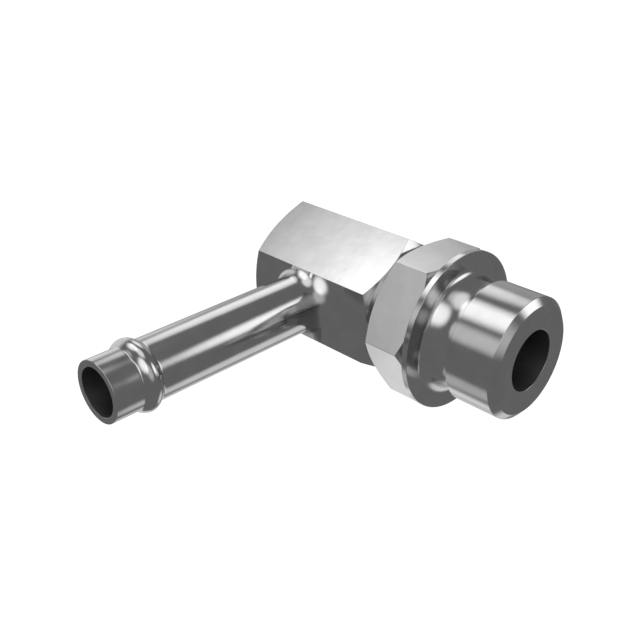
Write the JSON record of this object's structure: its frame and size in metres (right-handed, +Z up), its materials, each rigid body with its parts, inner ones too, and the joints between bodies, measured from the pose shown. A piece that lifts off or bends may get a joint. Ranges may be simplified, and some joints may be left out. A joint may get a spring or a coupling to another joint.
{
  "type": "hose elbow adapter",
  "caption": "Right-angle hose adapter: a beaded hose tube brazed into a hexagonal block that swivels on a flanged stud with a wrench hexagon and a spigot end.",
  "frame": {"origin": "the middle of the flange's front seating plane, on the stud's axis, where the fitting stops when it is screwed into a port", "axes": "+X along the stud's axis towards its spigot end, -Y along the hose tube towards its mouth, +Z up"},
  "size_m": [0.0482, 0.0615, 0.0254],
  "materials": {
    "zinc_plated_steel": "bright clear zinc plating over turned and drawn steel",
    "plated_braze_metal": "smooth braze metal under the same plating",
    "spring_steel": "drawn spring wire",
    "black_nitrile_rubber": "moulded rubber"
  },
  "bodies": {
    "stud": {"swivel_stud": "zinc_plated_steel", "shank_oring": "black_nitrile_rubber"},
    "elbow": {"elbow_block": "zinc_plated_steel", "hose_tube": "zinc_plated_steel", "braze_fillet": "plated_braze_metal", "retaining_wire": "spring_steel"}
  },
  "joints": [
    {"name": "elbow_swivel", "type": "hinge", "parent": "stud", "child": "elbow", "pos_m": [-0.0144, 0, 0], "axis": [1, 0, 0], "continuous": true}
  ]
}
